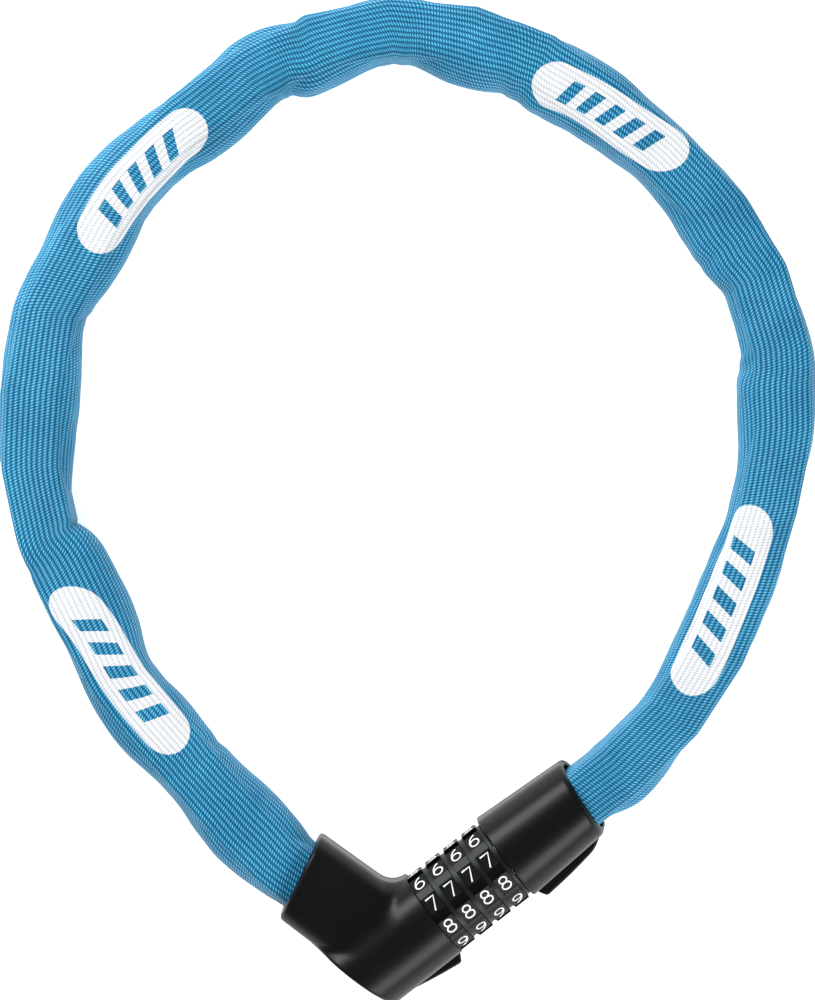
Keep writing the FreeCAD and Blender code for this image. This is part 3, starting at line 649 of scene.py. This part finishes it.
def build_sleeve():
    """The sleeve as one surface, cut into pieces between the chain's pivots."""
    line, rings, tangents = sleeve_grid()
    rings = clear_of_chain(smooth_rings(rings, 3), line, tangents)
    normals = ring_normals(rings)
    arcs = [ring_arcs(ring) for ring in rings]
    places = badge_places(line, tangents, rings, arcs)
    runs = chain_bodies()
    at_pivots = [nearest_ring(line, (pivot.x, pivot.y)) for body, pivot in runs]
    cuts = [0] + [(a + b) // 2 for a, b in zip(at_pivots, at_pivots[1:])] + [len(line) - 1]
    for k, (body, pivot) in enumerate(runs):
        obj = sleeve_piece("fabric_sleeve_%02d" % (k + 1), line, rings, normals, arcs,
                           places, cuts[k], cuts[k + 1])
        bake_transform(obj)
        if k == 0:
            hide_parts("fabric_sleeve")


def ring_arcs(ring):
    """Distance of each of the ring's points from its top along the cloth, outward positive."""
    shares = girth_shares(ring)
    girth = sum((b - a).length for a, b in zip(ring, ring[1:] + ring[:1]))
    top = shares[AROUND // 4]
    return [((top - share + 0.5) % 1.0 - 0.5) * girth for share in shares]


def girth_shares(ring):
    """Share of the ring's girth that lies before each of its points."""
    steps = [(b - a).length for a, b in zip(ring, ring[1:] + ring[:1])]
    total = sum(steps)
    shares = [0.0]
    for step in steps[:-1]:
        shares.append(shares[-1] + step / total)
    return shares


def sleeve_piece(name, line, rings, normals, arcs, places, start, end):
    count = end - start + 1
    vertices = [p * MM for ring in rings[start:end + 1] for p in ring]
    faces = []
    for i in range(count - 1):
        for j in range(AROUND):
            k = (j + 1) % AROUND
            faces.append((i * AROUND + j, i * AROUND + k, (i + 1) * AROUND + k, (i + 1) * AROUND + j))
    girths = {ring: girth_shares(rings[ring]) for ring in range(start, end + 1)}
    mesh = bpy.data.meshes.new(name)
    mesh.from_pydata(vertices, [], faces)
    weave_uv = mesh.uv_layers.new(name="weave")
    badge_layer = mesh.uv_layers.new(name="badge")
    for face in mesh.polygons:
        face.use_smooth = True
        wraps = {mesh.loops[k].vertex_index % AROUND for k in face.loop_indices} == {0, AROUND - 1}
        first_ring = start + min(mesh.loops[k].vertex_index for k in face.loop_indices) // AROUND
        badge = min(places, key=lambda b: abs(b[1][0] - line[first_ring][3]))
        below = any(mesh.vertices[v].co.z < 5.0 * MM for v in face.vertices)
        for k in face.loop_indices:
            i, j = divmod(mesh.loops[k].vertex_index, AROUND)
            ring = start + i
            turn = 1.0 if wraps and j == 0 else girths[ring][j]
            weave_uv.data[k].uv = (line[ring][3] * MM, turn * ROWS_AROUND * ROW)
            place = badge_uv(arcs[ring][j], line[ring][3], badge)
            badge_layer.data[k].uv = (place[0], UNDERSIDE) if below else place
    mesh.normals_split_custom_set_from_vertices(
        [n for row in normals[start:end + 1] for n in row])
    mesh.materials.append(fabric)
    obj = bpy.data.objects.new(name, mesh)
    scene.collection.objects.link(obj)
    return obj


# ---------------------------------------------------------------- housings
# Distances are in mm, in lock space. A negative distance is inside the plastic.
AXIS_Z = 14.5
SIDE_R = 14.5
BASE_R = 7.0
SPLIT_Z = 8.0
SPLIT_GAP = 0.12
MOUTH_R = 11.2
CELL = 0.45                    # mesh size of the housings


def smooth_max(a, b, k):
    """Larger of two distances, with the edge between them rounded."""
    h = np.clip(0.5 + 0.5 * (a - b) / k, 0, 1)
    return b + (a - b) * h + k * h * (1 - h)


def smooth_min(a, b, k):
    return -smooth_max(-a, -b, k)


def round_box(y, z, half, top, crown_r, base_r):
    """Distance to a section from z = 0 to top, with its own radius above and below."""
    middle = top / 2
    radius = np.where(z > middle, crown_r, base_r)
    qy = np.abs(y) - half + radius
    qz = np.abs(z - middle) - middle + radius
    outside = np.hypot(np.maximum(qy, 0), np.maximum(qz, 0))
    return np.minimum(np.maximum(qy, qz), 0) + outside - radius


def side_of(x, y, a, b):
    """Distance to the line through a and b; positive on its left."""
    dx, dy = b[0] - a[0], b[1] - a[1]
    length = math.hypot(dx, dy)
    return ((y - a[1]) * dx - (x - a[0]) * dy) / length


def tube(p, centre, radius, way):
    """Distance to an endless cylinder."""
    d = [c - o for c, o in zip(p, centre)]
    along = sum(q * w for q, w in zip(d, way))
    square = sum(q * q for q in d) - along * along
    return np.sqrt(np.maximum(square, 0)) - radius


def segment_tube(p, centre, radius, way, start, end):
    """Distance to a cylinder between two places along its axis."""
    d = [c - o for c, o in zip(p, centre)]
    along = sum(q * w for q, w in zip(d, way))
    return np.maximum(tube(p, centre, radius, way), np.maximum(start - along, along - end))


def fin(x, y, z, outline, top):
    """Distance to an upright prism on a convex outline that turns clockwise."""
    sides = [side_of(x, y, a, b) for a, b in zip(outline, outline[1:] + outline[:1])]
    flat = sides[0]
    for s in sides[1:]:
        flat = smooth_max(flat, s, 0.8)
    return smooth_max(smooth_max(flat, z - top, 0.8), -z, 0.5)


ARM_AXIS = 105.4               # the way the arm points, from the barrel to its mouth, degrees
ARM_MIDDLE = (-25.7, 35.0)
ARM_HALF = 14.7
ARM_TOP = 26.2
MOUTH_AXIS = 106.0
MOUTH = (-25.63, 35.11)
ELBOW_FIN = [(-24.0, -10.0), (0.1, -12.5), (-0.9, -14.9), (-3.0, -18.5), (-15.0, -16.9), (-26.6, -14.2)]
CAP_FIN = [(28.8, -11.5), (50.0, -10.0), (57.2, -13.0), (52.0, -16.2), (44.0, -17.6), (31.2, -18.6),
           (29.2, -15.2)]
ELBOW_SCREWS = [(-25.9, -5.5), (-29.8, 4.5)]
CAP_SCREWS = [(37.6, 7.6), (37.6, -7.6)]


def screw_hole(p, x, y, top):
    shank = segment_tube(p, (x, y, 0), 1.22, (0, 0, 1), -1, top + 0.3)
    entry = segment_tube(p, (x, y, 0), 2.35, (0, 0, 1), -1, 1.2)
    return np.minimum(shank, entry)


def elbow_distance(p):
    """Distance to the elbow housing: an arm blended into a barrel, with its finger ledge."""
    x, y, z = p
    turn = math.radians(ARM_AXIS)
    across = -(x - ARM_MIDDLE[0]) * math.sin(turn) + (y - ARM_MIDDLE[1]) * math.cos(turn)
    along = (x - ARM_MIDDLE[0]) * math.cos(turn) + (y - ARM_MIDDLE[1]) * math.sin(turn)
    half = ARM_HALF - 0.018 * (along + 20)
    arm = round_box(across, z, half, ARM_TOP, 10.5, BASE_R)
    arm = smooth_max(arm, 1.0 - y, 4.0)
    barrel = round_box(y, z, SIDE_R, AXIS_Z + SIDE_R, SIDE_R, BASE_R)
    blend = 5.5 - 3.5 * np.clip((z - 17.0) / 7.0, 0, 1)
    body = smooth_min(arm, barrel, blend)
    near_flank = side_of(x, y, (-27.2, -15.0), (-33.2, 5.0))
    far_flank = side_of(x, y, (-32.4, 3.0), (-39.3, 30.5))
    flank = smooth_max(near_flank, far_flank, 4.0)
    body = smooth_max(body, flank, 1.4)
    body = smooth_max(body, x - 0.3, 0.5)
    mouth = side_of(x, y, (-12.6, 41.3), (-38.8, 28.8))
    body = smooth_max(body, -mouth, 1.6)
    body = smooth_min(body, fin(x, y, z, ELBOW_FIN, SPLIT_Z - 1.0), 0.6)
    body = smooth_max(body, -z, 0.4)
    turn = math.radians(MOUTH_AXIS)
    way = (math.cos(turn), math.sin(turn), 0)
    centre = (MOUTH[0], MOUTH[1], CHAIN_Z)
    hollow = segment_tube(p, centre, MOUTH_R, way, -25.5, 4)
    groove = np.maximum(segment_tube(p, centre, 11.95, way, -6.2, -3.6), 1.6 - z)
    core = segment_tube(p, (0, 0, AXIS_Z), 12.6, (1, 0, 0), -23.2, 2)
    hollow = np.minimum(np.minimum(hollow, groove), core)
    for sx, sy in ELBOW_SCREWS:
        hollow = np.minimum(hollow, screw_hole(p, sx, sy, 17.0))
    return smooth_max(body, -hollow, 0.5)


def cap_distance(p):
    """Distance to the cap housing: a tapered barrel with a slanted mouth and its ledge."""
    x, y, z = p
    share = np.clip((x - 28.4) / 33.6, 0, 1.1)
    half = SIDE_R - 1.9 * share
    top = AXIS_Z + SIDE_R - 2.8 * share
    crown = SIDE_R - 1.9 * share
    body = round_box(y, z, half, top, np.minimum(crown, top / 2), BASE_R)
    body = smooth_max(body, 28.4 - x, 0.7)
    slope = math.radians(9.0)
    lip = (x - 61.4) * math.cos(slope) + (z - 8.0) * math.sin(slope) + 0.0040 * (y - 11.0) ** 2
    body = smooth_max(body, lip, 2.0)
    body = smooth_min(body, fin(x, y, z, CAP_FIN, SPLIT_Z - 1.0), 0.6)
    body = smooth_max(body, -z, 0.4)
    hollow = segment_tube(p, (0, 0, AXIS_Z), 11.0, (1, 0, 0), 27, 41.2)
    yoke = segment_tube(p, (0, 0, CHAIN_Z), MOUTH_R - 0.1, (1, 0, 0), 40, 66)
    groove = np.maximum(segment_tube(p, (0, 0, CHAIN_Z), 11.95, (1, 0, 0), 55.4, 57.4), 1.6 - z)
    hollow = np.minimum(np.minimum(hollow, yoke), groove)
    for sx, sy in CAP_SCREWS:
        hollow = np.minimum(hollow, screw_hole(p, sx, sy, 22.0))
    return smooth_max(body, -hollow, 0.6)


def upper_half(distance):
    return lambda p: smooth_max(distance(p), SPLIT_Z + SPLIT_GAP - p[2], 0.3)


def lower_half(distance):
    return lambda p: smooth_max(distance(p), p[2] - SPLIT_Z + SPLIT_GAP, 0.3)


def gradient(distance, points):
    step = 0.05
    rows = []
    for axis in range(3):
        shift = np.zeros(3)
        shift[axis] = step
        rows.append(distance((points + shift).T) - distance((points - shift).T))
    g = np.stack(rows, axis=1)
    return g / np.maximum(np.linalg.norm(g, axis=1, keepdims=True), 1e-9)


def net(distance, low, high):
    """Quads round the zero surface of a distance: one point per crossed cell."""
    axes = [np.arange(a, b + CELL, CELL) for a, b in zip(low, high)]
    grid = np.meshgrid(*axes, indexing="ij")
    field = distance(grid)
    inside = field < 0
    shape = tuple(n - 1 for n in field.shape)
    total = np.zeros(shape + (3,))
    count = np.zeros(shape)
    corners = [(i, j, k) for i in (0, 1) for j in (0, 1) for k in (0, 1)]

    def part(values, corner):
        return values[tuple(slice(c, c + n) for c, n in zip(corner, shape))]

    for a in corners:
        for axis in range(3):
            if a[axis]:
                continue
            b = tuple(1 if i == axis else c for i, c in enumerate(a))
            fa, fb = part(field, a), part(field, b)
            crossed = (fa < 0) != (fb < 0)
            t = np.where(crossed, fa / np.where(crossed, fa - fb, 1.0), 0.0)
            for i in range(3):
                place = a[i] + (t if i == axis else 0.0)
                total[..., i] += np.where(crossed, place, 0.0)
            count += crossed
    used = count > 0
    number = np.full(shape, -1)
    number[used] = np.arange(used.sum())
    cells = np.argwhere(used)
    points = (cells + total[used] / count[used][:, None]) * CELL + np.array([a[0] for a in axes])
    quads = []
    for axis in range(3):
        u, v = [i for i in range(3) if i != axis]
        first = [slice(1, n - 1) for n in field.shape]
        first[axis] = slice(0, field.shape[axis] - 1)
        second = list(first)
        second[axis] = slice(1, field.shape[axis])
        fa, fb = inside[tuple(first)], inside[tuple(second)]
        for rising in (True, False):
            found = np.argwhere((fa != fb) & (fa == rising))
            base = found.copy()
            base[:, u] += 1
            base[:, v] += 1
            loop = [(0, 0), (-1, 0), (-1, -1), (0, -1)]
            if rising == (axis == 1):
                loop = loop[::-1]
            quad = []
            for du, dv in loop:
                c = base.copy()
                c[:, u] += du
                c[:, v] += dv
                quad.append(number[c[:, 0], c[:, 1], c[:, 2]])
            quads.append(np.stack(quad, axis=1))
    for _ in range(3):
        g = gradient(distance, points)
        move = -distance(points.T)[:, None] * g
        points = points + np.clip(move, -0.3, 0.3) * 0.9
    return points, np.concatenate(quads)


def build_housing(name, distance, low, high, body, *nodes):
    points, quads = net(distance, low, high)
    normals = gradient(distance, points)
    mesh = bpy.data.meshes.new(name)
    mesh.from_pydata((points * MM).tolist(), [], quads.tolist())
    mesh.polygons.foreach_set("use_smooth", [True] * len(mesh.polygons))
    mesh.normals_split_custom_set_from_vertices(normals.tolist())
    mesh.transform(LOCK)
    mesh.materials.append(shell_plastic)
    obj = bpy.data.objects.new(name, mesh)
    scene.collection.objects.link(obj)
    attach(obj, body)
    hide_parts(*nodes)
    return obj


def build_housings():
    low, high = (-42, -20, -1), (1.5, 43, 30.5)
    build_housing("elbow_upper_cover", upper_half(elbow_distance), (-42, -20, 7), high, "root",
                  "elbow_upper_shell")
    build_housing("elbow_lower_cover", lower_half(elbow_distance), low, (1.5, 43, 9), "root",
                  "elbow_lower_shell")
    low, high = (27, -20, -1), (64, 17, 30.5)
    build_housing("cap_upper_cover", upper_half(cap_distance), (27, -20, 7), high, "cap",
                  "cap_upper_shell")
    build_housing("cap_lower_cover", lower_half(cap_distance), low, (64, 17, 9), "cap",
                  "cap_lower_shell")


# ---------------------------------------------------------------- digits on the wheels
DIGIT_HEIGHT = 4.3 * MM
DIGIT_STROKE = 0.26 * MM       # half the width of a stroke
DIGIT_RADIUS = 13.78 * MM
DIGIT_FLATNESS = 0.3           # a stroke's height as a share of its width
DIGIT_TURN = 36.0              # from one digit to the next, degrees
WHEEL_START, WHEEL_PITCH, WHEEL_WIDTH = 0.4 * MM, 7.1 * MM, 5.2 * MM
FIRST_ANGLE = 18.0             # of the first digit, from straight up
FIRST_DIGIT = 7


def arc(x, y, rx, ry, start, end):
    """Points of an elliptic arc between two angles in degrees."""
    steps = max(int(abs(end - start) / 15), 2)
    angles = [math.radians(start + (end - start) * i / steps) for i in range(steps + 1)]
    return [(x + rx * math.cos(a), y + ry * math.sin(a)) for a in angles]


STROKES = {
    0: [arc(0, 0, 0.34, 0.5, 0, 360)],
    1: [[(-0.2, 0.28), (0.06, 0.5), (0.06, -0.5)]],
    2: [arc(0, 0.2, 0.33, 0.3, 165, -35) + [(-0.35, -0.5), (0.36, -0.5)]],
    3: [arc(-0.02, 0.25, 0.30, 0.25, 150, -80), arc(-0.02, -0.23, 0.35, 0.27, 80, -150)],
    4: [[(0.16, -0.5), (0.16, 0.5), (-0.36, -0.2), (0.36, -0.2)]],
    5: [[(0.30, 0.5), (-0.24, 0.5)] + arc(0, -0.17, 0.34, 0.33, 140, -145)],
    6: [arc(0, -0.19, 0.35, 0.31, 0, 360), arc(0.22, -0.19, 0.57, 0.69, 180, 88)],
    7: [[(-0.34, 0.5), (0.35, 0.5), (-0.12, -0.5)]],
    8: [arc(0, 0.25, 0.29, 0.25, 0, 360), arc(0, -0.25, 0.35, 0.26, 0, 360)],
    9: [arc(0, 0.19, 0.35, 0.31, 0, 360), arc(-0.22, 0.19, 0.57, 0.69, 0, -92)],
}


def digit_mesh(digit):
    """Rounded raised strokes of one digit, centred on its middle."""
    curve = bpy.data.curves.new("digit_%d" % digit, "CURVE")
    curve.dimensions = "3D"
    curve.bevel_depth = DIGIT_STROKE
    curve.bevel_resolution = 2
    curve.use_fill_caps = True
    for stroke in STROKES[digit]:
        spline = curve.splines.new("POLY")
        spline.points.add(len(stroke) - 1)
        for point, (x, y) in zip(spline.points, stroke):
            point.co = (x * DIGIT_HEIGHT, y * DIGIT_HEIGHT, 0, 1)
    holder = bpy.data.objects.new("holder", curve)
    scene.collection.objects.link(holder)
    bpy.context.view_layer.update()
    mesh = bpy.data.meshes.new_from_object(holder.evaluated_get(bpy.context.evaluated_depsgraph_get()))
    bpy.data.objects.remove(holder)
    for v in mesh.vertices:
        v.co.z *= DIGIT_FLATNESS
    mesh.polygons.foreach_set("use_smooth", [True] * len(mesh.polygons))
    mesh.name = "digit_%d" % digit
    mesh.materials.clear()
    mesh.materials.append(digit_paint)
    return mesh


def build_digits():
    meshes = {d: digit_mesh(d) for d in range(10)}
    for wheel in range(4):
        x = WHEEL_START + wheel * WHEEL_PITCH + WHEEL_WIDTH / 2
        for k in range(10):
            digit = (FIRST_DIGIT + k) % 10
            tilt = math.radians(FIRST_ANGLE - DIGIT_TURN * k)
            # the digit's top points to the loop side, and its face looks outward
            place = (LOCK @ Matrix.Translation((x, 0, LOCK_AXIS_Z))
                     @ Matrix.Rotation(-tilt, 4, "X") @ Matrix.Translation((0, 0, DIGIT_RADIUS)))
            obj = bpy.data.objects.new("wheel_%d_digit_%d" % (wheel + 1, digit), meshes[digit].copy())
            obj.data.transform(place)
            scene.collection.objects.link(obj)
            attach(obj, "wheel_%d" % (wheel + 1))


# ---------------------------------------------------------------- floor and light
FLOOR_SIZE = 4.0               # half its width, metres
FLOOR_GLOW = 0.62
LIGHT_HEIGHT = 0.60            # metres
LIGHT_DISTANCE = 1.1
LIGHT_SIZE = (1.2, 0.5)
LIGHT_TARGET = (0, -0.03, 0)
KEY_POWER = 26.0
FILL_POWER = 17.0
WORLD_STRENGTH = 0.30


def build_stage():
    sh = Shader("pale_floor")
    sh.set(Base_Color=grey(0.85), Roughness=0.9, Specular_IOR_Level=0.1)
    sh.set(Emission_Color=grey(1.0), Emission_Strength=FLOOR_GLOW)
    mesh = bpy.data.meshes.new("floor")
    size = FLOOR_SIZE
    corners = [(-size, -size, 0), (size, -size, 0), (size, size, 0), (-size, size, 0)]
    mesh.from_pydata(corners, [], [(0, 1, 2, 3)])
    mesh.materials.append(sh.material)
    floor = bpy.data.objects.new("floor", mesh)
    scene.collection.objects.link(floor)


def area_light(name, place, power):
    """Soft rectangular light that looks at the lock."""
    data = bpy.data.lights.new(name, "AREA")
    data.shape = "RECTANGLE"
    data.size, data.size_y = LIGHT_SIZE
    data.energy = power
    obj = bpy.data.objects.new(name, data)
    obj.location = place
    obj.rotation_euler = (Vector(LIGHT_TARGET) - place).to_track_quat("-Z", "Y").to_euler()
    scene.collection.objects.link(obj)


def build_lights():
    aside = LOCK.to_3x3() @ Vector((0, 1, 0)) * LIGHT_DISTANCE
    height = Vector((0, 0, LIGHT_HEIGHT))
    area_light("key_light", height + aside, KEY_POWER)
    area_light("fill_light", height - aside, FILL_POWER)
    world = bpy.data.worlds.new("studio")
    world.use_nodes = True
    scene.world = world
    background = world.node_tree.nodes["Background"]
    background.inputs[0].default_value = grey(1.0)
    background.inputs[1].default_value = WORLD_STRENGTH


SLOT_OF = node_slots()
dress_cad_nodes()
build_sleeve()
build_housings()
build_digits()
build_stage()
build_lights()
